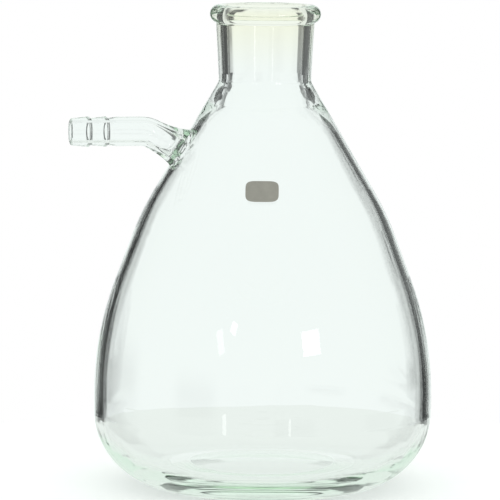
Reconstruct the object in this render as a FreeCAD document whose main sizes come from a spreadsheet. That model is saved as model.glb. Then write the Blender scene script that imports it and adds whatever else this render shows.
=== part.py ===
import FreeCAD, Part
import math
import os
import Sketcher

# A heavy-walled filter flask of clear borosilicate glass, blown and fused into one piece.
# A turned body with a conical shoulder and a bead-lipped neck stands on a ring round a
# pushed-up base. A side arm for a vacuum hose is fused into the shoulder.
# The frame: +Z is up along the neck, the arm points to -X, and the origin is the centre
# of the standing ring. Lengths are in millimetres and angles in degrees.

doc = FreeCAD.newDocument("filter_flask")

# Driving dimensions

SIZES = {
    # Base and heel
    "ring_width": 8.6,           # width of the flat ring that the flask stands on
    "push_up": 3.5,              # rise of the underside inside the ring
    "ring_edge_fillet": 1.5,     # softened inner edge of the ring
    "heel_radius": 30.0,         # rounding from the ring up to the side
    "heel_thickening": 8.0,      # how much tighter the floor's corner is than the heel
    "floor_height": 10.0,        # inner floor above the bench, at the axis
    "floor_arc": 260.0,          # radius of the slightly domed inner floor
    # Side and shoulder
    "body_radius": 66.6,         # widest radius of the body
    "body_wall": 3.3,            # thickness of the side where it stands upright
    "upright_length": 6.0,       # height of the upright part above the heel
    "belly_arc": 129.0,          # radius of the belly curve above it
    "belly_thinning": 7.0,       # extra radius of that curve inside, which thins the wall upwards
    "side_angle": 20.5,          # lean of the straight part of the side
    "side_length": 18.6,         # length of that straight part
    "shoulder_arc": 115.0,       # radius of the curve from the side to the shoulder
    "shoulder_angle": 30.4,      # lean of the conical shoulder
    # Neck
    "neck_length": 30.0,         # from the top of the shoulder to the top of the lip
    "mouth_radius": 15.5,        # bore at the mouth, which takes a rubber stopper
    "bore_taper": 2.2,           # lean of the neck's bore, narrower downwards
    "neck_wall": 3.8,            # thickness of the neck under the lip
    "neck_narrowing": 1.2,       # how much less the neck's outer radius is at its root
    "neck_root_fillet": 4.0,     # corner between the shoulder and the neck, outside
    "throat_arc": 18.0,          # radius of the curve by which the bore widens at its foot
    "throat_hollow": 60.0,       # radius of the curve back from there to the shoulder
    "throat_swing": 12.3,        # how much more than the shoulder the throat leans between them
    # Lip
    "mouth_rounding": 2.65,      # width of the rounded edge from the bore to the lip's top
    "bead_radius": 3.6,          # section radius of the lip's bead
    "bead_fillet": 0.8,          # corner between the neck and the bead
    # Side arm
    "arm_drop": 19.1,            # axis of the level tube below the top of the shoulder
    "arm_slope": 27.0,           # rise of the stub as it leaves the shoulder
    "arm_bore": 3.7,             # radius of the arm's bore
    "arm_wall": 2.0,             # thickness of the arm's tube
    "arm_stub": 12.9,            # straight part that rises from the shoulder
    "arm_bend": 9.0,             # radius of the bend, on the arm's axis
    "tube_length": 9.8,          # plain level tube between the bend and the hose end
    "foot_spread": 3.0,          # how much wider the tube is inside the shoulder's wall
    "foot_fillet": 1.6,          # corner between the arm's foot and the shoulder
    "hole_fillet": 3.2,          # rounded rim of the bore's hole in the wall, inside
    # Hose barbs
    "barb_pitch": 6.9,           # from one barb's step to the next
    "nose_length": 1.5,          # extra length of the first barb, at the tip
    "barb_groove": 0.4,          # depth below the tube's surface between the barbs
    "barb_height": 0.2,          # height of a barb over the tube's surface
    "barb_rounding": 1.0,        # rounding of a barb's step, at its top and at its foot
    "lead_length": 3.0,          # cone from the last step up to the tube
    "nose_rounding": 0.9,        # rounded outer edge of the tip
    "cut_clearance": 2.0,        # how far a cut runs past the face where it leaves
}
BARBS = 2

# Places that follow from the driving dimensions. The shoulder's reach and height are
# those of its lower end, and its top is where its outer line meets the neck's root.

PLACES = {
    "ring_outer_radius": "=body_radius - heel_radius",
    "ring_inner_radius": "=ring_outer_radius - ring_width",
    "belly_height": "=heel_radius + upright_length",
    "shoulder_reach": "=body_radius - belly_arc * (1 - cos(side_angle)) - side_length * sin(side_angle)"
                      " - shoulder_arc * (cos(side_angle) - cos(shoulder_angle))",
    "shoulder_height": "=belly_height + belly_arc * sin(side_angle) + side_length * cos(side_angle)"
                       " + shoulder_arc * (sin(shoulder_angle) - sin(side_angle))",
    "inner_belly_arc": "=belly_arc - body_wall + belly_thinning",
    "shoulder_wall": "=body_wall - belly_thinning"
                     " * (cos(shoulder_angle - side_angle) - cos(shoulder_angle))",
    "neck_top_radius": "=mouth_radius + neck_wall",
    "neck_root_radius": "=neck_top_radius - neck_narrowing",
    "shoulder_top": "=shoulder_height + (shoulder_reach - neck_root_radius) / tan(shoulder_angle)",
    "flask_height": "=shoulder_top + neck_length",
    "bead_centre": "=mouth_radius + mouth_rounding",
    "arm_height": "=shoulder_top - arm_drop",
    "arm_radius": "=arm_bore + arm_wall",
    "foot_height": "=arm_height - arm_stub * sin(arm_slope) - arm_bend * (1 - cos(arm_slope))",
    "foot_reach": "=neck_root_radius + (shoulder_top - foot_height) * tan(shoulder_angle)",
    "bend_reach": "=foot_reach + arm_stub * cos(arm_slope) + arm_bend * sin(arm_slope)",
    "barbs_length": "=%d * barb_pitch + nose_length" % BARBS,
    "barb_root": "=arm_radius - barb_groove",
    "barb_crest": "=arm_radius + barb_height",
    "arm_reach": "=bend_reach + tube_length + lead_length + barbs_length",
}

sheet = doc.addObject("Spreadsheet::Sheet", "sizes")
for row, (name, value) in enumerate({**SIZES, **PLACES}.items(), start=1):
    sheet.set("A%d" % row, name)
    sheet.set("B%d" % row, str(value))
    sheet.setAlias("B%d" % row, name)
doc.recompute()

size = {name: float(sheet.get(name)) for name in [*SIZES, *PLACES]}
side = math.radians(size["side_angle"])
lean = math.radians(size["shoulder_angle"])
slope = math.radians(size["arm_slope"])
taper = math.radians(size["bore_taper"])

flask = doc.addObject("PartDesign::Body", "flask")
flask.Label = "flask"
flask.Placement = FreeCAD.Placement()

# Sketching helpers. A sketch is drawn close to its final shape, and its constraints,
# bound to the sheet, then place it exactly. START, END and CENTRE are an edge's points.

START, END, CENTRE = range(1, 4)
X_AXIS, Y_AXIS = range(-1, -3, -1)
ORIGIN = (X_AXIS, START)


def upright_sketch(name):
    """A sketch on the plane through the flask's axis and the arm: x is outwards, y is up."""
    sketch = flask.newObject("Sketcher::SketchObject", name)
    plane = next(f for f in flask.Origin.OriginFeatures if f.Role == "XZ_Plane")
    sketch.AttachmentSupport = [(plane, "")]
    sketch.MapMode = "FlatFace"
    return sketch


def foot_sketch(name):
    """An upright sketch whose x axis is the stub's axis, from the arm's foot outwards."""
    sketch = upright_sketch(name)
    sketch.AttachmentOffset.Rotation.Axis = FreeCAD.Vector(0, 0, 1)
    sketch.setExpression(".AttachmentOffset.Base.x", "-sizes.foot_reach")
    sketch.setExpression(".AttachmentOffset.Base.y", "sizes.foot_height")
    sketch.setExpression(".AttachmentOffset.Rotation.Angle", "180 - sizes.arm_slope")
    return sketch


def tip_sketch(name):
    """An upright sketch with its origin at the arm's tip and its x axis along the arm's axis."""
    sketch = upright_sketch(name)
    sketch.setExpression(".AttachmentOffset.Base.x", "-sizes.arm_reach")
    sketch.setExpression(".AttachmentOffset.Base.y", "sizes.arm_height")
    return sketch


def point(x, y):
    return FreeCAD.Vector(x, y, 0)


def add_line(sketch, begin, finish):
    return sketch.addGeometry(Part.LineSegment(point(*begin), point(*finish)), False)


def add_arc(sketch, centre, radius, begin_angle, end_angle):
    """An arc that runs counter-clockwise between two angles in radians."""
    circle = Part.Circle(point(*centre), FreeCAD.Vector(0, 0, 1), radius)
    return sketch.addGeometry(Part.ArcOfCircle(circle, begin_angle, end_angle), False)


def relate(sketch, kind, *parts):
    sketch.addConstraint(Sketcher.Constraint(kind, *parts))


def value_of(expression):
    return float(sheet.evalExpression(expression.replace("sizes.", "")))


def drive(sketch, expression, kind, *parts):
    """A dimension whose value is worked out from the sheet."""
    value = value_of(expression)
    if kind == "Angle":
        value = math.radians(value)
    index = sketch.addConstraint(Sketcher.Constraint(kind, *parts, value))
    sketch.setExpression("Constraints[%d]" % index, expression)


def fix_x(sketch, edge, end, expression):
    drive(sketch, expression, "DistanceX", edge, end)


def fix_y(sketch, edge, end, expression):
    drive(sketch, expression, "DistanceY", edge, end)


def turn(kind, name, sketch, axis):
    """A full turn of a sketch about one of its own axes."""
    feature = flask.newObject("PartDesign::" + kind, name)
    feature.Profile = sketch
    feature.ReferenceAxis = (sketch, [axis])
    feature.Angle = 360
    doc.recompute()


def round_edges(name, expression, is_wanted):
    """A fillet on every edge that a test picks out by its place."""
    base = flask.Tip
    edges = ["Edge%d" % (i + 1) for i, edge in enumerate(base.Shape.Edges) if is_wanted(edge)]
    if not edges:
        raise RuntimeError("no edge found for " + name)
    feature = flask.newObject("PartDesign::Fillet", name)
    feature.Base = (base, edges)
    feature.setExpression("Radius", expression)
    doc.recompute()


# The side of the body, from the heel to the shoulder, is the same run of curves outside
# and inside. The inside one starts a wall's thickness deeper, and its belly curve is its own.


def add_side(sketch, heel, wall_expression, belly_expression):
    """Adds the side and shoulder after the heel arc and returns the shoulder's line."""
    wall = value_of(wall_expression)
    radius = size["body_radius"] - wall
    belly_radius = value_of(belly_expression)
    belly_centre = (radius - belly_radius, size["belly_height"])
    belly_end = (belly_centre[0] + belly_radius * math.cos(side),
                 belly_centre[1] + belly_radius * math.sin(side))
    side_end = (belly_end[0] - size["side_length"] * math.sin(side),
                belly_end[1] + size["side_length"] * math.cos(side))
    shoulder_radius = size["shoulder_arc"] - wall
    shoulder_centre = (side_end[0] - shoulder_radius * math.cos(side),
                       side_end[1] - shoulder_radius * math.sin(side))
    shoulder_start = (shoulder_centre[0] + shoulder_radius * math.cos(lean),
                      shoulder_centre[1] + shoulder_radius * math.sin(lean))
    shoulder_rise = (shoulder_start[0] - size["neck_root_radius"]) / math.tan(lean)
    shoulder_end = (size["neck_root_radius"], shoulder_start[1] + shoulder_rise)

    upright = add_line(sketch, (radius, size["heel_radius"]), (radius, size["belly_height"]))
    belly = add_arc(sketch, belly_centre, belly_radius, 0, side)
    straight = add_line(sketch, belly_end, side_end)
    bend = add_arc(sketch, shoulder_centre, shoulder_radius, side, lean)
    shoulder = add_line(sketch, shoulder_start, shoulder_end)

    relate(sketch, "Vertical", upright)
    relate(sketch, "Tangent", heel, END, upright, START)
    relate(sketch, "Tangent", upright, END, belly, START)
    relate(sketch, "Tangent", belly, END, straight, START)
    relate(sketch, "Tangent", straight, END, bend, START)
    relate(sketch, "Tangent", bend, END, shoulder, START)
    fix_x(sketch, upright, END, "sizes.body_radius - %s" % wall_expression)
    fix_y(sketch, upright, END, "sizes.belly_height")
    drive(sketch, belly_expression, "Radius", belly)
    drive(sketch, "90 + sizes.side_angle", "Angle", straight)
    drive(sketch, "sizes.side_length", "Distance", straight)
    drive(sketch, "sizes.shoulder_arc - %s" % wall_expression, "Radius", bend)
    drive(sketch, "90 + sizes.shoulder_angle", "Angle", shoulder)
    return shoulder


def shoulder_line_height(radius, wall):
    """Where the shoulder's line, at this depth inside its outer face, reaches a radius."""
    outer_height = size["shoulder_height"] + (size["shoulder_reach"] - radius) / math.tan(lean)
    return outer_height - wall / math.sin(lean)


# Features


def outer_form():
    """The whole outside of the turned flask, as a solid that is hollowed afterwards."""
    sketch = upright_sketch("outline")
    ring_inner = size["ring_inner_radius"]
    ring_outer = size["ring_outer_radius"]
    rise = size["push_up"]
    dome_radius = (ring_inner ** 2 + rise ** 2) / (2 * rise)
    dome_angle = math.asin(ring_inner / dome_radius)
    heel_radius = size["heel_radius"]
    root = size["neck_root_radius"]
    top = size["flask_height"]
    bead_height = top - size["bead_radius"]
    bead_start = -math.acos((size["neck_top_radius"] - size["bead_centre"]) / size["bead_radius"])
    neck_end = (size["neck_top_radius"], bead_height + size["bead_radius"] * math.sin(bead_start))

    dome = add_arc(sketch, (0, rise - dome_radius), dome_radius, math.pi / 2 - dome_angle, math.pi / 2)
    ring = add_line(sketch, (ring_inner, 0), (ring_outer, 0))
    heel = add_arc(sketch, (ring_outer, heel_radius), heel_radius, -math.pi / 2, 0)
    shoulder = add_side(sketch, heel, "0", "sizes.belly_arc")
    fillet = size["neck_root_fillet"]
    corner_centre = (root + fillet, shoulder_line_height(root, 0) + fillet * math.tan(lean / 2))
    corner = add_arc(sketch, corner_centre, fillet, math.pi, math.pi + lean)
    neck = add_line(sketch, (root, shoulder_line_height(root, 0)), neck_end)
    bead = add_arc(sketch, (size["bead_centre"], bead_height), size["bead_radius"],
                   bead_start, math.pi / 2)
    lid = add_line(sketch, (size["bead_centre"], top), (0, top))
    axis = add_line(sketch, (0, top), (0, rise))

    relate(sketch, "Coincident", dome, START, ring, START)
    relate(sketch, "Tangent", ring, END, heel, START)
    relate(sketch, "Tangent", shoulder, END, corner, END)
    relate(sketch, "Tangent", corner, START, neck, START)
    relate(sketch, "Coincident", neck, END, bead, START)
    relate(sketch, "Tangent", bead, END, lid, START)
    relate(sketch, "Coincident", lid, END, axis, START)
    relate(sketch, "Coincident", axis, END, dome, END)
    relate(sketch, "PointOnObject", dome, CENTRE, Y_AXIS)
    relate(sketch, "PointOnObject", axis, START, Y_AXIS)
    relate(sketch, "PointOnObject", axis, END, Y_AXIS)
    relate(sketch, "PointOnObject", ring, START, X_AXIS)
    relate(sketch, "Horizontal", ring)
    relate(sketch, "Horizontal", lid)
    fix_x(sketch, ring, START, "sizes.ring_inner_radius")
    fix_y(sketch, axis, END, "sizes.push_up")
    drive(sketch, "sizes.heel_radius", "Radius", heel)
    drive(sketch, "sizes.neck_root_fillet", "Radius", corner)
    fix_x(sketch, neck, START, "sizes.neck_root_radius")
    fix_x(sketch, neck, END, "sizes.neck_top_radius")
    drive(sketch, "sizes.bead_radius", "Radius", bead)
    fix_x(sketch, bead, CENTRE, "sizes.bead_centre")
    fix_y(sketch, lid, START, "sizes.flask_height")
    turn("Revolution", "turned_form", sketch, "V_Axis")


def arm_path(name, begin_expression, level_expression):
    """The arm's axis: up from the shoulder, round the bend, and level from there."""
    sketch = foot_sketch(name)
    begin = value_of(begin_expression)
    level = value_of(level_expression)
    stub_end = (size["arm_stub"], 0)
    bend_centre = (size["arm_stub"], size["arm_bend"])
    bend_end = (size["arm_stub"] + size["arm_bend"] * math.sin(slope),
                size["arm_bend"] * (1 - math.cos(slope)))
    level_end = (bend_end[0] + level * math.cos(slope), bend_end[1] + level * math.sin(slope))

    stub = add_line(sketch, (begin, 0), stub_end)
    bend = add_arc(sketch, bend_centre, size["arm_bend"], -math.pi / 2, slope - math.pi / 2)
    straight = add_line(sketch, bend_end, level_end)

    relate(sketch, "PointOnObject", stub, START, X_AXIS)
    relate(sketch, "Horizontal", stub)
    relate(sketch, "Tangent", stub, END, bend, START)
    relate(sketch, "Tangent", bend, END, straight, START)
    fix_x(sketch, stub, START, begin_expression)
    fix_x(sketch, stub, END, "sizes.arm_stub")
    drive(sketch, "sizes.arm_bend", "Radius", bend)
    drive(sketch, "sizes.arm_slope", "Angle", straight)
    drive(sketch, level_expression, "Distance", straight)
    return sketch


def carry_circle(kind, name, path, radius_expression):
    """A round section carried along the arm's path."""
    section = flask.newObject("Sketcher::SketchObject", name + "_section")
    section.AttachmentSupport = [(path, "Edge1")]
    section.MapMode = "NormalToEdge"
    section.MapPathParameter = 0
    circle = Part.Circle(point(0, 0), FreeCAD.Vector(0, 0, 1), value_of(radius_expression))
    outline = section.addGeometry(circle, False)
    relate(section, "Coincident", outline, CENTRE, *ORIGIN)
    drive(section, radius_expression, "Radius", outline)
    doc.recompute()
    feature = flask.newObject("PartDesign::" + kind, name)
    feature.Profile = section
    feature.Spine = (path, ["Edge1", "Edge2", "Edge3"])
    doc.recompute()


def arm_foot():
    """The arm's foot: wide inside the wall, it narrows along the stub in one hollow curve."""
    sketch = foot_sketch("arm_foot_profile")
    begin, finish = -size["body_wall"] / 2, size["arm_stub"]
    narrow = size["arm_radius"]
    spread = size["foot_spread"]
    length = finish - begin
    flare_radius = (length ** 2 + spread ** 2) / (2 * spread)
    flare_angle = math.asin(length / flare_radius)

    flare = add_arc(sketch, (finish, narrow + flare_radius), flare_radius,
                    -math.pi / 2 - flare_angle, -math.pi / 2)
    front = add_line(sketch, (finish, narrow), (finish, 0))
    axis = add_line(sketch, (finish, 0), (begin, 0))
    back = add_line(sketch, (begin, 0), (begin, narrow + spread))

    relate(sketch, "Coincident", flare, END, front, START)
    relate(sketch, "Coincident", front, END, axis, START)
    relate(sketch, "Coincident", axis, END, back, START)
    relate(sketch, "Coincident", back, END, flare, START)
    relate(sketch, "PointOnObject", axis, START, X_AXIS)
    relate(sketch, "PointOnObject", axis, END, X_AXIS)
    relate(sketch, "Vertical", front)
    relate(sketch, "Vertical", back)
    relate(sketch, "Vertical", flare, CENTRE, flare, END)
    fix_x(sketch, front, START, "sizes.arm_stub")
    fix_y(sketch, front, START, "sizes.arm_radius")
    fix_x(sketch, back, END, "-sizes.body_wall / 2")
    fix_y(sketch, back, END, "sizes.arm_radius + sizes.foot_spread")
    turn("Revolution", "arm_foot", sketch, "H_Axis")


def hose_barbs():
    """The hose end: barbs that rise towards the flask, then a cone up to the plain tube.

    Each barb ends in a step of two arcs that run into each other, as in formed glass.
    """
    sketch = tip_sketch("barb_profile")
    root, crest = size["barb_root"], size["barb_crest"]
    nose, rounding = size["nose_rounding"], size["barb_rounding"]
    face = add_line(sketch, (0, 0), (0, root - nose))
    corner = add_arc(sketch, (nose, root - nose), nose, math.pi / 2, math.pi)
    relate(sketch, "Coincident", face, START, *ORIGIN)
    relate(sketch, "Vertical", face)
    relate(sketch, "Tangent", face, END, corner, END)
    relate(sketch, "Vertical", corner, CENTRE, corner, START)
    drive(sketch, "sizes.nose_rounding", "Radius", corner)
    fix_y(sketch, corner, START, "sizes.barb_root")

    turn_angle = math.acos(1 - (crest - root) / (2 * rounding))
    step_length = 2 * rounding * math.sin(turn_angle)
    before, at = (corner, START), nose
    for number in range(1, BARBS + 1):
        step = number * size["barb_pitch"] + size["nose_length"]
        rise = add_line(sketch, (at, root), (step - step_length, crest))
        top = add_arc(sketch, (step - step_length, crest - rounding), rounding,
                      math.pi / 2 - turn_angle, math.pi / 2)
        valley = add_arc(sketch, (step, root + rounding), rounding,
                         -math.pi / 2 - turn_angle, -math.pi / 2)
        relate(sketch, "Coincident", *before, rise, START)
        relate(sketch, "Coincident", rise, END, top, END)
        relate(sketch, "Vertical", top, CENTRE, top, END)
        relate(sketch, "Tangent", top, START, valley, START)
        relate(sketch, "Vertical", valley, CENTRE, valley, END)
        drive(sketch, "sizes.barb_rounding", "Radius", top)
        drive(sketch, "sizes.barb_rounding", "Radius", valley)
        fix_y(sketch, rise, END, "sizes.barb_crest")
        fix_x(sketch, valley, END, "%d * sizes.barb_pitch + sizes.nose_length" % number)
        fix_y(sketch, valley, END, "sizes.barb_root")
        before, at = (valley, END), step

    join = at + size["lead_length"]
    lead = add_line(sketch, (at, root), (join, size["arm_radius"]))
    end = add_line(sketch, (join, size["arm_radius"]), (join, 0))
    axis = add_line(sketch, (join, 0), (0, 0))
    relate(sketch, "Coincident", *before, lead, START)
    relate(sketch, "Coincident", lead, END, end, START)
    relate(sketch, "Coincident", end, END, axis, START)
    relate(sketch, "Coincident", axis, END, face, START)
    relate(sketch, "Vertical", end)
    relate(sketch, "Horizontal", axis)
    fix_x(sketch, lead, END, "sizes.barbs_length + sizes.lead_length")
    fix_y(sketch, lead, END, "sizes.arm_radius")
    turn("Revolution", "hose_barbs", sketch, "H_Axis")


def cavity():
    """The inside of the turned flask, from the domed floor up through the rounded mouth."""
    sketch = upright_sketch("inside")
    wall = size["shoulder_wall"]
    corner = size["heel_radius"] - size["heel_thickening"]
    corner_x = size["body_radius"] - size["body_wall"] - corner
    floor_centre = size["floor_height"] - size["floor_arc"]
    reach = size["floor_arc"] + corner
    corner_y = floor_centre + math.sqrt(reach ** 2 - corner_x ** 2)
    tilt = math.asin(corner_x / reach)
    top = size["flask_height"]
    above = top + size["cut_clearance"]
    lip = size["bead_centre"]
    mouth = (size["mouth_radius"], top - size["mouth_rounding"])
    throat_radius, hollow_radius = size["throat_arc"], size["throat_hollow"]
    swing = math.radians(size["throat_swing"])
    centre_depth = (shoulder_line_height(0, wall) * math.sin(lean) - hollow_radius
                    + (throat_radius + hollow_radius) * math.cos(swing))
    bore_at_zero = mouth[0] - mouth[1] * math.tan(taper) + throat_radius * math.cos(taper)
    bore_foot = ((centre_depth - bore_at_zero * math.cos(lean)
                  + throat_radius * math.sin(taper) * math.sin(lean))
                 / (math.tan(taper) * math.cos(lean) + math.sin(lean)))
    bore_root = mouth[0] - (mouth[1] - bore_foot) * math.tan(taper)
    throat_centre = (bore_root + throat_radius * math.cos(taper),
                     bore_foot - throat_radius * math.sin(taper))
    hollow_centre = (throat_centre[0] - (throat_radius + hollow_radius) * math.cos(lean + swing),
                     throat_centre[1] - (throat_radius + hollow_radius) * math.sin(lean + swing))

    floor = add_arc(sketch, (0, floor_centre), size["floor_arc"], math.pi / 2 - tilt, math.pi / 2)
    heel = add_arc(sketch, (corner_x, corner_y), corner, -math.pi / 2 - tilt, 0)
    shoulder = add_side(sketch, heel, "sizes.body_wall", "sizes.inner_belly_arc")
    hollow = add_arc(sketch, hollow_centre, hollow_radius, lean, lean + swing)
    throat = add_arc(sketch, throat_centre, throat_radius, math.pi - taper, math.pi + lean + swing)
    bore = add_line(sketch, (bore_root, bore_foot), mouth)
    rounding = add_arc(sketch, (lip, mouth[1]), size["mouth_rounding"], math.pi / 2, math.pi - taper)
    exit_line = add_line(sketch, (lip, top), (lip, above))
    lid = add_line(sketch, (lip, above), (0, above))
    axis = add_line(sketch, (0, above), (0, size["floor_height"]))

    relate(sketch, "Tangent", floor, START, heel, START)
    relate(sketch, "Tangent", shoulder, END, hollow, START)
    relate(sketch, "Tangent", hollow, END, throat, END)
    relate(sketch, "Tangent", throat, START, bore, START)
    relate(sketch, "Tangent", bore, END, rounding, END)
    relate(sketch, "Coincident", rounding, START, exit_line, START)
    relate(sketch, "Coincident", exit_line, END, lid, START)
    relate(sketch, "Coincident", lid, END, axis, START)
    relate(sketch, "Coincident", axis, END, floor, END)
    relate(sketch, "PointOnObject", floor, CENTRE, Y_AXIS)
    relate(sketch, "PointOnObject", axis, START, Y_AXIS)
    relate(sketch, "PointOnObject", axis, END, Y_AXIS)
    relate(sketch, "Vertical", exit_line)
    relate(sketch, "Horizontal", lid)
    relate(sketch, "Vertical", rounding, CENTRE, rounding, START)
    drive(sketch, "sizes.floor_arc", "Radius", floor)
    drive(sketch, "sizes.heel_radius - sizes.heel_thickening", "Radius", heel)
    fix_y(sketch, axis, END, "sizes.floor_height")
    drive(sketch, "sizes.throat_hollow", "Radius", hollow)
    drive(sketch, "sizes.throat_swing", "Angle", hollow)
    drive(sketch, "sizes.throat_arc", "Radius", throat)
    drive(sketch, "90 - sizes.bore_taper", "Angle", bore)
    fix_x(sketch, bore, END, "sizes.mouth_radius")
    fix_x(sketch, rounding, START, "sizes.bead_centre")
    fix_y(sketch, rounding, START, "sizes.flask_height")
    fix_y(sketch, lid, START, "sizes.flask_height + sizes.cut_clearance")
    turn("Groove", "cavity", sketch, "V_Axis")


# The outside first: the turned form, the arm and its barbs

outer_form()
arm_axis = arm_path("arm_axis", "-sizes.body_wall / 2", "sizes.tube_length")
carry_circle("AdditivePipe", "arm_tube", arm_axis, "sizes.arm_radius")
arm_foot()
hose_barbs()

# The hollow: the cavity, then the arm's bore through the wall

cavity()
bore_axis = arm_path("bore_axis", "-sizes.body_wall - sizes.cut_clearance",
                     "sizes.arm_reach - sizes.bend_reach + sizes.cut_clearance")
carry_circle("SubtractivePipe", "arm_bore", bore_axis, "sizes.arm_bore")

# Softened corners, as on fire-polished glass

foot = FreeCAD.Vector(-size["foot_reach"], 0, size["foot_height"])
outwards = FreeCAD.Vector(-math.cos(slope), 0, math.sin(slope))


def is_round_stub(edge, depth, least_radius, most_radius):
    """Whether an edge belongs to the ring round the stub's axis at this depth below the shoulder.

    The ring may be in several edges, where the arm stands on more than one of its curves.
    """
    if edge.Degenerated:
        return False
    near = size["body_wall"] * 0.7
    ends_and_thirds = edge.discretize(4)
    for place in ends_and_thirds:
        offset = place - foot
        height = offset.dot(outwards)
        radius = (offset - outwards * height).Length
        if abs(height + depth) > near or not least_radius < radius < most_radius:
            return False
    return True


def is_ring(edge, radius, height):
    """Whether an edge is the circle of this radius round the flask's axis at this height."""
    if edge.Degenerated or not isinstance(edge.Curve, Part.Circle):
        return False
    near = 0.05
    offset = edge.Curve.Center - FreeCAD.Vector(0, 0, height)
    return abs(edge.Curve.Radius - radius) < near and offset.Length < near


arm_foot_radius = size["arm_radius"] + size["foot_spread"]
bead_overhang = size["neck_top_radius"] - size["bead_centre"]
bead_drop = size["bead_radius"] + math.sqrt(size["bead_radius"] ** 2 - bead_overhang ** 2)
round_edges("foot_fillet", "sizes.foot_fillet",
            lambda edge: is_round_stub(edge, 0, size["arm_radius"], arm_foot_radius))
round_edges("hole_fillet", "sizes.hole_fillet",
            lambda edge: is_round_stub(edge, size["shoulder_wall"], 0, size["arm_radius"]))
round_edges("bead_fillet", "sizes.bead_fillet",
            lambda edge: is_ring(edge, size["neck_top_radius"], size["flask_height"] - bead_drop))
round_edges("ring_fillet", "sizes.ring_edge_fillet",
            lambda edge: is_ring(edge, size["ring_inner_radius"], 0))

# Checks before the shape is written

doc.recompute()
failed = [item.Name for item in doc.Objects if {"Invalid", "Error"} & set(item.State)]
if failed:
    raise RuntimeError("features that failed: " + ", ".join(failed))
shape = flask.Shape
if shape.isNull() or not shape.isValid() or len(shape.Solids) != 1:
    raise RuntimeError("the flask isn't one valid solid")
print("the flask holds %.1f ml of glass" % (shape.Volume / 1000))

os.makedirs("parts", exist_ok=True)
shape.exportStep("parts/" + flask.Label + ".step")
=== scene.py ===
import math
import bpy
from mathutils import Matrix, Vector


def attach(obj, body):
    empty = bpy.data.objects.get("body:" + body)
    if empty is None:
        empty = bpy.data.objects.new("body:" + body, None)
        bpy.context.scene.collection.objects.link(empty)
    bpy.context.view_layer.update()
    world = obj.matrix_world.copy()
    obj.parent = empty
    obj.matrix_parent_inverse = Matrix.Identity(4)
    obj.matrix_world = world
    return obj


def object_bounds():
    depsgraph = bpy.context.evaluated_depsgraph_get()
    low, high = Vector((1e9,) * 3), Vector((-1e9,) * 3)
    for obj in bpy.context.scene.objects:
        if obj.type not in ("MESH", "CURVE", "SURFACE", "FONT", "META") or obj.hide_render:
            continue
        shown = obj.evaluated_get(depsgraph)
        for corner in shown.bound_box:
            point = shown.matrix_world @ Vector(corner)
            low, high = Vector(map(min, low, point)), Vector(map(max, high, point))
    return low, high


bl_info = {
    "name": "Filter flask",
    "version": (1, 0, 0),
    "blender": (4, 5, 0),
    "location": "View3D > Sidebar > Filter flask",
    "description": "Glass, enamel patch and stage of a heavy-walled filter flask",
    "category": "Object",
}

import bpy
import numpy as np
from mathutils import Matrix, Vector

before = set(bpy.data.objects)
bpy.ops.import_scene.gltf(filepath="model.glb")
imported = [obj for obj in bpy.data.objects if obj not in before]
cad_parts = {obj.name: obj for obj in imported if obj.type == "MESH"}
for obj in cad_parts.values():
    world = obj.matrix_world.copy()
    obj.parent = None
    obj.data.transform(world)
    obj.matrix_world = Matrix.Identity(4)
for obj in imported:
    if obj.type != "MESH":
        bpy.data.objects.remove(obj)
BOX_LOW, BOX_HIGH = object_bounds()
FLASK_HEIGHT = BOX_HIGH.z

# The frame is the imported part's: Z is up along the neck, the hose arm points to -X, and
# the origin is the centre of the standing ring. Lengths are in metres.


class GlassFinish(bpy.types.PropertyGroup):
    """Clear borosilicate glass, a little uneven as blown glass is."""

    ior: bpy.props.FloatProperty(
        name="Index of refraction", description="Borosilicate glass", default=1.473, min=1.3, max=1.7)
    tint: bpy.props.FloatVectorProperty(
        name="Absorption colour", description="What a thick piece of the glass looks like",
        subtype="COLOR", size=3, default=(0.67, 0.97, 0.71), min=0.0, max=1.0)
    density: bpy.props.FloatProperty(
        name="Absorption density", description="How fast the glass takes on its colour, per metre",
        default=3.8, min=0.0)
    lip_colour: bpy.props.FloatVectorProperty(
        name="Lip colour", description="Warm tinge of the glass that was worked in the flame at the lip",
        subtype="COLOR", size=3, default=(1.0, 0.985, 0.90), min=0.0, max=1.0)
    lip_depth: bpy.props.FloatProperty(
        name="Lip depth", description="How far down from the lip the warm tinge reaches",
        subtype="DISTANCE", unit="LENGTH", default=0.03, min=0.001)
    waviness: bpy.props.FloatProperty(
        name="Waviness", description="Height of the slow unevenness of the blown surface",
        subtype="DISTANCE", unit="LENGTH", default=0.00012, min=0.0)
    wave_size: bpy.props.FloatProperty(
        name="Wave size", description="Width of one slow wave of the surface",
        subtype="DISTANCE", unit="LENGTH", default=0.04, min=0.001)


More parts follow.
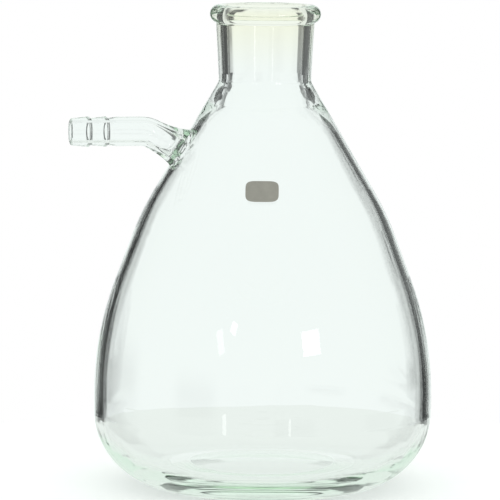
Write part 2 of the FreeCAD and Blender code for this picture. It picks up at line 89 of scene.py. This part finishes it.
class EnamelPatch(bpy.types.PropertyGroup):
    """The blank patch of fired enamel on the shoulder that takes a pencil note."""

    azimuth: bpy.props.FloatProperty(
        name="Azimuth", description="Where the patch's middle is round the flask, from the front",
        subtype="ANGLE", unit="ROTATION", default=math.radians(-12.1))
    height: bpy.props.FloatProperty(
        name="Height", description="Height of the patch's middle above the bench",
        subtype="DISTANCE", unit="LENGTH", default=0.1205)
    length: bpy.props.FloatProperty(
        name="Length", description="Length of the patch round the flask",
        subtype="DISTANCE", unit="LENGTH", default=0.0128, min=0.001)
    breadth: bpy.props.FloatProperty(
        name="Breadth", description="Breadth of the patch up the shoulder",
        subtype="DISTANCE", unit="LENGTH", default=0.0088, min=0.001)
    corner_power: bpy.props.FloatProperty(
        name="Corner power", description="2 makes the patch an ellipse, and more makes it squarer",
        default=4.5, min=2.0)
    film: bpy.props.FloatProperty(
        name="Film", description="How far the enamel stands above the glass",
        subtype="DISTANCE", unit="LENGTH", default=0.00006, min=0.00001)
    colour: bpy.props.FloatVectorProperty(
        name="Colour", description="Warm grey enamel",
        subtype="COLOR", size=3, default=(0.32, 0.32, 0.275), min=0.0, max=1.0)
    roughness: bpy.props.FloatProperty(
        name="Roughness", description="How matt the enamel is", default=0.62, min=0.0, max=1.0)
    grain: bpy.props.FloatProperty(
        name="Grain", description="Size of the matt enamel's grain",
        subtype="DISTANCE", unit="LENGTH", default=0.0004, min=0.00001)


class StageSettings(bpy.types.PropertyGroup):
    """The floor, the surroundings, the lamps and the camera."""

    floor_radius: bpy.props.FloatProperty(
        name="Floor radius", description="Radius of the pale floor that the flask stands on",
        subtype="DISTANCE", unit="LENGTH", default=0.18, min=0.1)
    floor_colour: bpy.props.FloatVectorProperty(
        name="Floor colour", description="Colour of the floor",
        subtype="COLOR", size=3, default=(0.78, 0.80, 0.79), min=0.0, max=1.0)
    floor_glow: bpy.props.FloatProperty(
        name="Floor glow", description="How much whiter than lit paint the floor looks",
        default=0.45, min=0.0)
    floor_glow_in_glass: bpy.props.FloatProperty(
        name="Floor glow in the glass", description="The same for the floor seen through the glass",
        default=0.80, min=0.0)
    floor_glow_colour: bpy.props.FloatVectorProperty(
        name="Floor glow colour", description="Slightly green white of the floor's glow",
        subtype="COLOR", size=3, default=(0.93, 1.0, 0.955), min=0.0, max=1.0)
    floor_paint_in_glass: bpy.props.FloatProperty(
        name="Floor paint in the glass", description="Share of the lit paint that shows in the glass",
        default=0.14, min=0.0, max=1.0)
    room_light: bpy.props.FloatProperty(
        name="Room light", description="Strength of the even light from all round", default=0.85, min=0.0)
    room_seen: bpy.props.FloatProperty(
        name="Room in the glass", description="Brightness of the room that shows in the glass",
        default=0.87, min=0.0)
    room_colour: bpy.props.FloatVectorProperty(
        name="Room colour", description="Slightly green white of the room in the glass",
        subtype="COLOR", size=3, default=(0.94, 1.0, 0.98), min=0.0, max=1.0)
    window_light: bpy.props.FloatProperty(
        name="Windows", description="Share of their brightness that the windows and lamps have",
        default=1.0, min=0.0)
    light_bounces: bpy.props.IntProperty(
        name="Light bounces", description="How many walls of thick glass the light may meet",
        default=32, min=8)
    camera_azimuth: bpy.props.FloatProperty(
        name="Camera azimuth", description="Turn of the camera round the flask, from the front",
        subtype="ANGLE", unit="ROTATION", default=math.radians(-11.0))
    camera_distance: bpy.props.FloatProperty(
        name="Camera distance", description="Level distance from the flask's axis to the camera",
        subtype="DISTANCE", unit="LENGTH", default=1.5, min=0.3)
    camera_height: bpy.props.FloatProperty(
        name="Camera height", description="Height of the camera above the floor",
        subtype="DISTANCE", unit="LENGTH", default=0.271)
    aim_height: bpy.props.FloatProperty(
        name="Aim height", description="Height at which the camera looks at the flask's axis",
        subtype="DISTANCE", unit="LENGTH", default=0.0931)
    aim_aside: bpy.props.FloatProperty(
        name="Aim aside", description="How far to the left of the axis the camera looks",
        subtype="DISTANCE", unit="LENGTH", default=0.00538)
    frame_width: bpy.props.FloatProperty(
        name="Frame width", description="Width of the picture at the flask's axis",
        subtype="DISTANCE", unit="LENGTH", default=0.19675, min=0.01)
    camera_roll: bpy.props.FloatProperty(
        name="Camera roll", description="How far the flask leans to the right in the picture",
        subtype="ANGLE", unit="ROTATION", default=math.radians(0.405))


# Node helpers


def new_nodes(tree):
    """The nodes and links of a tree that has been emptied."""
    tree.nodes.clear()
    return tree.nodes, tree.links


def maths(tree, operation, *values):
    """A Math node on sockets or plain numbers."""
    node = tree.nodes.new("ShaderNodeMath")
    node.operation = operation
    for socket, value in zip(node.inputs, values):
        if isinstance(value, bpy.types.NodeSocket):
            tree.links.new(value, socket)
        else:
            socket.default_value = value
    return node.outputs[0]


def ramp_up(tree, value, start, end):
    """0 below start and 1 above end, with a soft S between them."""
    node = tree.nodes.new("ShaderNodeMapRange")
    node.interpolation_type = "SMOOTHSTEP"
    tree.links.new(value, node.inputs["Value"])
    node.inputs["From Min"].default_value = start
    node.inputs["From Max"].default_value = end
    return node.outputs["Result"]


def between(tree, value, low, high, softness):
    """1 between low and high and 0 outside, with soft edges."""
    half = softness / 2
    rise = ramp_up(tree, value, low - half, low + half)
    fall = ramp_up(tree, value, high - half, high + half)
    return maths(tree, "SUBTRACT", rise, fall)


def blend(tree, share, below, above):
    """below where share is 0, above where it is 1."""
    step = maths(tree, "SUBTRACT", above, below)
    return maths(tree, "MULTIPLY_ADD", share, step, below)


def background_rays(tree):
    """1 for rays that show the surroundings: from the camera, in gloss and through glass."""
    path = tree.nodes.new("ShaderNodeLightPath")
    seen = maths(tree, "MAXIMUM", path.outputs["Is Camera Ray"], path.outputs["Is Glossy Ray"])
    return path, maths(tree, "MAXIMUM", seen, path.outputs["Is Transmission Ray"])


# Glass


def glass_material(finish):
    """Clear glass with a slight green, a warm tinge at the lip and slow waves."""
    material = bpy.data.materials.new("clear_glass")
    material.use_nodes = True
    tree = material.node_tree
    nodes, links = new_nodes(tree)
    output = nodes.new("ShaderNodeOutputMaterial")
    shader = nodes.new("ShaderNodeBsdfPrincipled")
    shader.inputs["Roughness"].default_value = 0.0
    shader.inputs["IOR"].default_value = finish.ior
    shader.inputs["Transmission Weight"].default_value = 1.0
    links.new(shader.outputs["BSDF"], output.inputs["Surface"])
    volume = nodes.new("ShaderNodeVolumeAbsorption")
    volume.inputs["Color"].default_value = (*finish.tint, 1)
    volume.inputs["Density"].default_value = finish.density
    links.new(volume.outputs["Volume"], output.inputs["Volume"])

    coords = nodes.new("ShaderNodeTexCoord")
    parts = nodes.new("ShaderNodeSeparateXYZ")
    links.new(coords.outputs["Object"], parts.inputs[0])
    near_lip = ramp_up(tree, parts.outputs["Z"], FLASK_HEIGHT - finish.lip_depth, FLASK_HEIGHT)
    tinge = nodes.new("ShaderNodeMix")
    tinge.data_type = "RGBA"
    links.new(near_lip, tinge.inputs["Factor"])
    below, above = (socket for socket in tinge.inputs if socket.type == "RGBA")
    below.default_value = (1, 1, 1, 1)
    above.default_value = (*finish.lip_colour, 1)
    colour = next(out for out in tinge.outputs if out.type == "RGBA")
    links.new(colour, shader.inputs["Base Color"])

    waves = nodes.new("ShaderNodeTexNoise")
    links.new(coords.outputs["Object"], waves.inputs["Vector"])
    waves.inputs["Scale"].default_value = 1 / finish.wave_size
    waves.inputs["Detail"].default_value = 1.0
    bump = nodes.new("ShaderNodeBump")
    bump.inputs["Distance"].default_value = finish.waviness
    links.new(waves.outputs["Fac"], bump.inputs["Height"])
    links.new(bump.outputs["Normal"], shader.inputs["Normal"])
    return material


class FLASK_OT_glass(bpy.types.Operator):
    """Gives the flask its clear glass"""

    bl_idname = "flask.glass"
    bl_label = "Glass flask"

    def execute(self, context):
        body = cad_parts["flask"]
        body.data.materials[0] = glass_material(context.scene.glass_finish)
        return {"FINISHED"}


# The blank enamel patch on the shoulder

# Outline of the shoulder's outside: an arc, given by its centre's radius and height, then a
# cone above it
ARC_CENTRE = (-0.055801, 0.058325)
ARC_RADIUS = 0.115
CONE_START = 0.116519
CONE_LEAN = math.radians(30.4)

EDGE_POWER = 16
EDGE_DEPTH = 0.1
RING_SPACING = 0.7


def shoulder_radius(height):
    """Radius of the glass at each height: the arc's circle up to the cone, then a straight line."""
    arc = ARC_CENTRE[0] + np.sqrt(ARC_RADIUS ** 2 - (np.minimum(height, CONE_START) - ARC_CENTRE[1]) ** 2)
    return arc - np.maximum(height - CONE_START, 0) * math.tan(CONE_LEAN)


def patch_grid(patch, rings=28, turns=160):
    """A film over the glass: at share r from the middle and turn t, the place on the patch is r
    times the outline |x/a|^n + |y/b|^n = 1, wrapped round the shoulder at its height. It stands
    above the glass by film * (1 - r^16) less a tenth of the film, so its edge runs into the glass.
    The rings lie closer together towards the edge.
    """
    share = np.linspace(0, 1, rings + 1)[1:] ** RING_SPACING
    turn = np.linspace(0, 2 * np.pi, turns, endpoint=False)
    r, t = np.meshgrid(share, turn, indexing="ij")
    r = np.concatenate([[0.0], r.ravel()])
    t = np.concatenate([[0.0], t.ravel()])
    power = patch.corner_power
    reach = (np.abs(np.cos(t)) ** power + np.abs(np.sin(t)) ** power) ** (-1 / power)
    along = r * reach * np.cos(t) * patch.length / 2
    up = r * reach * np.sin(t) * patch.breadth / 2
    height = patch.height + up * math.cos(CONE_LEAN)
    radius = shoulder_radius(height)
    azimuth = patch.azimuth + along / radius
    stand = patch.film * (1 - r ** EDGE_POWER) - EDGE_DEPTH * patch.film
    radius = radius + stand * math.cos(CONE_LEAN)
    height = height + stand * math.sin(CONE_LEAN)
    places = np.stack([radius * np.sin(azimuth), -radius * np.cos(azimuth), height], axis=1)

    ring = 1 + np.arange(rings * turns).reshape(rings, turns)
    after = np.roll(ring, -1, axis=1)
    middle = np.stack([np.zeros(turns, int), ring[0], after[0]], axis=1)
    quads = np.stack([ring[:-1], ring[1:], after[1:], after[:-1]], axis=-1).reshape(-1, 4)
    return places, middle.tolist() + quads.tolist()


# Shares of the enamel's colour: the darkest shade, and what the clouds and the grain add to it.
# The grain's bumps are a share of the film.
DARKEST_SHADE = 0.80
CLOUD_SHADE = 0.24
GRAIN_SHADE = 0.16
GRAINS_PER_CLOUD = 20 / 3
GRAIN_HEIGHT = 0.3


def enamel_material(patch):
    """Matt fired enamel: fine grain, a slightly cloudy colour and small bumps."""
    material = bpy.data.materials.new("grey_enamel")
    material.use_nodes = True
    tree = material.node_tree
    nodes, links = new_nodes(tree)
    output = nodes.new("ShaderNodeOutputMaterial")
    shader = nodes.new("ShaderNodeBsdfPrincipled")
    links.new(shader.outputs["BSDF"], output.inputs["Surface"])
    shader.inputs["Roughness"].default_value = patch.roughness
    coords = nodes.new("ShaderNodeTexCoord")
    cloud = nodes.new("ShaderNodeTexNoise")
    cloud.inputs["Scale"].default_value = 1 / (GRAINS_PER_CLOUD * patch.grain)
    grain = nodes.new("ShaderNodeTexNoise")
    grain.inputs["Scale"].default_value = 1 / patch.grain
    grain.inputs["Detail"].default_value = 3.0
    for noise in (cloud, grain):
        links.new(coords.outputs["Object"], noise.inputs["Vector"])
    shade = maths(tree, "MULTIPLY_ADD", cloud.outputs["Fac"], CLOUD_SHADE, DARKEST_SHADE)
    shade = maths(tree, "MULTIPLY_ADD", grain.outputs["Fac"], GRAIN_SHADE, shade)
    colour = nodes.new("ShaderNodeVectorMath")
    colour.operation = "SCALE"
    colour.inputs[0].default_value = patch.colour
    links.new(shade, colour.inputs["Scale"])
    links.new(colour.outputs["Vector"], shader.inputs["Base Color"])
    bump = nodes.new("ShaderNodeBump")
    bump.inputs["Distance"].default_value = patch.film * GRAIN_HEIGHT
    links.new(grain.outputs["Fac"], bump.inputs["Height"])
    links.new(bump.outputs["Normal"], shader.inputs["Normal"])
    return material


class FLASK_OT_patch(bpy.types.Operator):
    """Adds the blank enamel patch on the shoulder"""

    bl_idname = "flask.patch"
    bl_label = "Enamel patch"

    def execute(self, context):
        patch = context.scene.enamel_patch
        places, faces = patch_grid(patch)
        mesh = bpy.data.meshes.new("enamel_patch")
        mesh.from_pydata(places.tolist(), [], faces)
        mesh.shade_smooth()
        mesh.materials.append(enamel_material(patch))
        piece = bpy.data.objects.new("enamel_patch", mesh)
        context.scene.collection.objects.link(piece)
        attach(piece, "root")
        return {"FINISHED"}


# Stage


FLOOR_POINTS = 96


def add_floor(settings):
    """A flat disc: one face on a ring of points at the floor's radius round the origin. The camera
    sees it as white with the flask's shadow, and glass and gloss see a slightly green white."""
    turns = np.linspace(0, 2 * np.pi, FLOOR_POINTS, endpoint=False)
    rim = np.stack([np.cos(turns), np.sin(turns), np.zeros_like(turns)], axis=1) * settings.floor_radius
    mesh = bpy.data.meshes.new("floor")
    mesh.from_pydata(rim.tolist(), [], [list(range(len(rim)))])
    floor = bpy.data.objects.new("floor", mesh)
    bpy.context.scene.collection.objects.link(floor)
    material = bpy.data.materials.new("pale_floor")
    material.use_nodes = True
    tree = material.node_tree
    nodes, links = new_nodes(tree)
    output = nodes.new("ShaderNodeOutputMaterial")
    paint = nodes.new("ShaderNodeBsdfDiffuse")
    glow = nodes.new("ShaderNodeEmission")
    glow.inputs["Color"].default_value = (*settings.floor_glow_colour, 1)
    path, shown = background_rays(tree)
    camera = path.outputs["Is Camera Ray"]
    in_glass = maths(tree, "SUBTRACT", shown, camera)
    paint_share = maths(tree, "MULTIPLY_ADD", in_glass, settings.floor_paint_in_glass - 1, 1.0)
    colour = nodes.new("ShaderNodeVectorMath")
    colour.operation = "SCALE"
    colour.inputs[0].default_value = settings.floor_colour
    links.new(paint_share, colour.inputs["Scale"])
    links.new(colour.outputs["Vector"], paint.inputs["Color"])
    seen = maths(tree, "MULTIPLY", camera, settings.floor_glow)
    links.new(maths(tree, "MULTIPLY_ADD", in_glass, settings.floor_glow_in_glass, seen),
              glow.inputs["Strength"])
    both = nodes.new("ShaderNodeAddShader")
    links.new(paint.outputs[0], both.inputs[0])
    links.new(glow.outputs[0], both.inputs[1])
    links.new(both.outputs[0], output.inputs["Surface"])
    mesh.materials.append(material)


# Screens far behind the flask that show in the glass, in each direction from which it is looked
# at: the azimuth of the middle, how far the screen reaches from that, from right (negative)
# to left, its lowest and highest elevation, how soft its edges are, all in degrees, and
# its brightness. A later screen stands before an earlier one. The first is the white backdrop
# behind the flask, and the others are dark screens beside it.
SCREENS = (
    (-11, -30, 30, -40, 25, 1.5, 0.97),
    (-11, 16, 42, -19, -4, 1.5, 0.04),
    (-11, -48, -18.5, -19, -4, 1.5, 0.05),
    (-11, 24, 58, -9, -2, 1.5, 0.06),
    (-11, -60, -25, -6, -2, 1.5, 0.08),
    (-11, -25, -16, -6, -2, 1.5, 0.30),
    (-11, 17, 48, -3, 12, 2.5, 0.05),
    (-11, 14, 48, 12, 28, 2.5, 0.08),
    (-11, -52, -18, -3, 28, 2.5, 0.12),
    (90, 18, 45, -7, 2, 12, 0.10),
    (90, -45, -18, -7, 2, 12, 0.10),
    (-135, 20, 48, -22, -10, 4, 0.04),
    (-135, -48, -20, -22, -10, 4, 0.04),
    (45, 18, 45, -32, -19, 6, 0.05),
    (45, -45, -18, -32, -19, 6, 0.05),
)


# The room is a little brighter overhead: where that starts and ends, in degrees, and by how much
OVERHEAD_START = 25
OVERHEAD_END = 70
OVERHEAD_GAIN = 0.1


def screens_light(tree, settings):
    """Brightness that gloss and glass see in each direction: the room with the screens in it."""
    nodes, links = tree.nodes, tree.links
    coords = nodes.new("ShaderNodeTexCoord")
    parts = nodes.new("ShaderNodeSeparateXYZ")
    links.new(coords.outputs["Generated"], parts.inputs[0])
    away = maths(tree, "MULTIPLY", parts.outputs["X"], -1.0)
    turn = maths(tree, "ARCTAN2", away, parts.outputs["Y"])
    rise = maths(tree, "ARCSINE", parts.outputs["Z"])
    overhead = ramp_up(tree, rise, math.radians(OVERHEAD_START), math.radians(OVERHEAD_END))
    level = maths(tree, "MULTIPLY_ADD", overhead, OVERHEAD_GAIN, settings.room_seen)
    for *angles, brightness in SCREENS:
        middle, right, left, lowest, highest, softness = (math.radians(angle) for angle in angles)
        aside = maths(tree, "WRAP", maths(tree, "SUBTRACT", turn, middle), math.pi, -math.pi)
        zone = between(tree, rise, lowest, highest, softness)
        across = between(tree, aside, right, left, softness)
        level = blend(tree, maths(tree, "MULTIPLY", zone, across), level, brightness)
    return level


def set_world(settings):
    """The surroundings: white for the camera, the room with its screens for glass and gloss."""
    world = bpy.data.worlds.new("studio")
    bpy.context.scene.world = world
    world.use_nodes = True
    tree = world.node_tree
    nodes, links = new_nodes(tree)
    output = nodes.new("ShaderNodeOutputWorld")
    plain = nodes.new("ShaderNodeBackground")
    room = nodes.new("ShaderNodeBackground")
    path, shown = background_rays(tree)
    camera = path.outputs["Is Camera Ray"]
    # the camera sees plain white, gloss and glass see the screens, and the rest is even light
    even = maths(tree, "MULTIPLY", maths(tree, "SUBTRACT", 1.0, shown), settings.room_light)
    links.new(maths(tree, "ADD", even, camera), plain.inputs["Strength"])
    plain.inputs["Color"].default_value = (1, 1, 1, 1)
    in_glass = maths(tree, "SUBTRACT", shown, camera)
    links.new(maths(tree, "MULTIPLY", in_glass, screens_light(tree, settings)), room.inputs["Strength"])
    room.inputs["Color"].default_value = (*settings.room_colour, 1)
    both = nodes.new("ShaderNodeAddShader")
    links.new(plain.outputs[0], both.inputs[0])
    links.new(room.outputs[0], both.inputs[1])
    links.new(both.outputs[0], output.inputs["Surface"])


# Windows and lamps behind the camera that gleam in the glass: the azimuth, counted from +Y
# towards -X, and the elevation, then width, height and lean, all in degrees, and the brightness
WINDOWS = (
    ("window_right", -156.6, 17.6, 12.5, 8.6, 0.0, 5.0),
    ("window_left", 138.7, 17.9, 4.3, 8.8, 24.0, 2.4),
    ("window_left_top", 147.5, 23.2, 4.0, 4.2, -18.0, 5.0),
    ("low_lamp_left", 143.9, -8.5, 2.4, 6.0, 0.0, 3.0),
    ("low_lamp_right", -173.0, -9.0, 1.4, 6.0, 0.0, 3.0),
)
WINDOW_DISTANCE = 3.0


def add_windows(settings):
    """Area lamps at WINDOW_DISTANCE that face the flask and don't show through the glass."""
    for name, azimuth, elevation, width, height, lean, brightness in WINDOWS:
        turn, rise = math.radians(azimuth), math.radians(elevation)
        direction = Vector((-math.sin(turn) * math.cos(rise), math.cos(turn) * math.cos(rise),
                            math.sin(rise)))
        lamp = bpy.data.lights.new(name, "AREA")
        lamp.shape = "RECTANGLE"
        lamp.size = 2 * WINDOW_DISTANCE * math.tan(math.radians(width) / 2)
        lamp.size_y = 2 * WINDOW_DISTANCE * math.tan(math.radians(height) / 2)
        lamp.energy = settings.window_light * brightness * math.pi * lamp.size * lamp.size_y
        lamp.color = (1, 1, 1)
        piece = bpy.data.objects.new(name, lamp)
        bpy.context.scene.collection.objects.link(piece)
        aim = direction.to_track_quat("Z", "Y").to_matrix().to_4x4()
        piece.matrix_world = (Matrix.Translation(direction * WINDOW_DISTANCE) @ aim
                              @ Matrix.Rotation(math.radians(lean), 4, "Z"))
        piece.visible_camera = False
        piece.visible_transmission = False


def add_camera(settings):
    """The camera at the photograph's angle, with the lens that gives the frame's width."""
    data = bpy.data.cameras.new("camera")
    camera = bpy.data.objects.new("camera", data)
    bpy.context.scene.collection.objects.link(camera)
    bpy.context.scene.camera = camera
    turn = settings.camera_azimuth
    back = Vector((math.sin(turn), -math.cos(turn), 0))
    right = Vector((math.cos(turn), math.sin(turn), 0))
    place = back * settings.camera_distance + Vector((0, 0, settings.camera_height))
    aim = Vector((0, 0, settings.aim_height)) - right * settings.aim_aside
    view = aim - place
    turned = view.to_track_quat("-Z", "Y").to_matrix().to_4x4()
    roll = Matrix.Rotation(settings.camera_roll, 4, "Z")
    camera.matrix_world = Matrix.Translation(place) @ turned @ roll
    data.lens = data.sensor_width * view.length / settings.frame_width
    data.clip_start = 0.05
    data.clip_end = 50.0


class FLASK_OT_stage(bpy.types.Operator):
    """Adds the floor, the surroundings, the lamps and the camera"""

    bl_idname = "flask.stage"
    bl_label = "Stage"

    def execute(self, context):
        settings = context.scene.stage_settings
        context.scene.view_settings.view_transform = "Standard"
        context.scene.cycles.max_bounces = settings.light_bounces
        context.scene.cycles.transmission_bounces = settings.light_bounces
        context.scene.cycles.glossy_bounces = settings.light_bounces
        add_floor(settings)
        set_world(settings)
        add_windows(settings)
        add_camera(settings)
        return {"FINISHED"}


class FLASK_PT_panel(bpy.types.Panel):
    """The flask's pieces and settings"""

    bl_idname = "FLASK_PT_panel"
    bl_label = "Filter flask"
    bl_space_type = "VIEW_3D"
    bl_region_type = "UI"
    bl_category = "Filter flask"

    def draw(self, context):
        for operator in OPERATORS:
            self.layout.operator(operator.bl_idname)


OPERATORS = (FLASK_OT_glass, FLASK_OT_patch, FLASK_OT_stage)
GROUPS = {"glass_finish": GlassFinish, "enamel_patch": EnamelPatch, "stage_settings": StageSettings}
CLASSES = (*GROUPS.values(), *OPERATORS, FLASK_PT_panel)


def register():
    for item in CLASSES:
        bpy.utils.register_class(item)
    for name, group in GROUPS.items():
        setattr(bpy.types.Scene, name, bpy.props.PointerProperty(type=group))


def unregister():
    for name in GROUPS:
        delattr(bpy.types.Scene, name)
    for item in reversed(CLASSES):
        bpy.utils.unregister_class(item)


def main():
    register()
    bpy.ops.flask.glass()
    bpy.ops.flask.patch()
    bpy.ops.flask.stage()


if __name__ == "__main__":
    main()
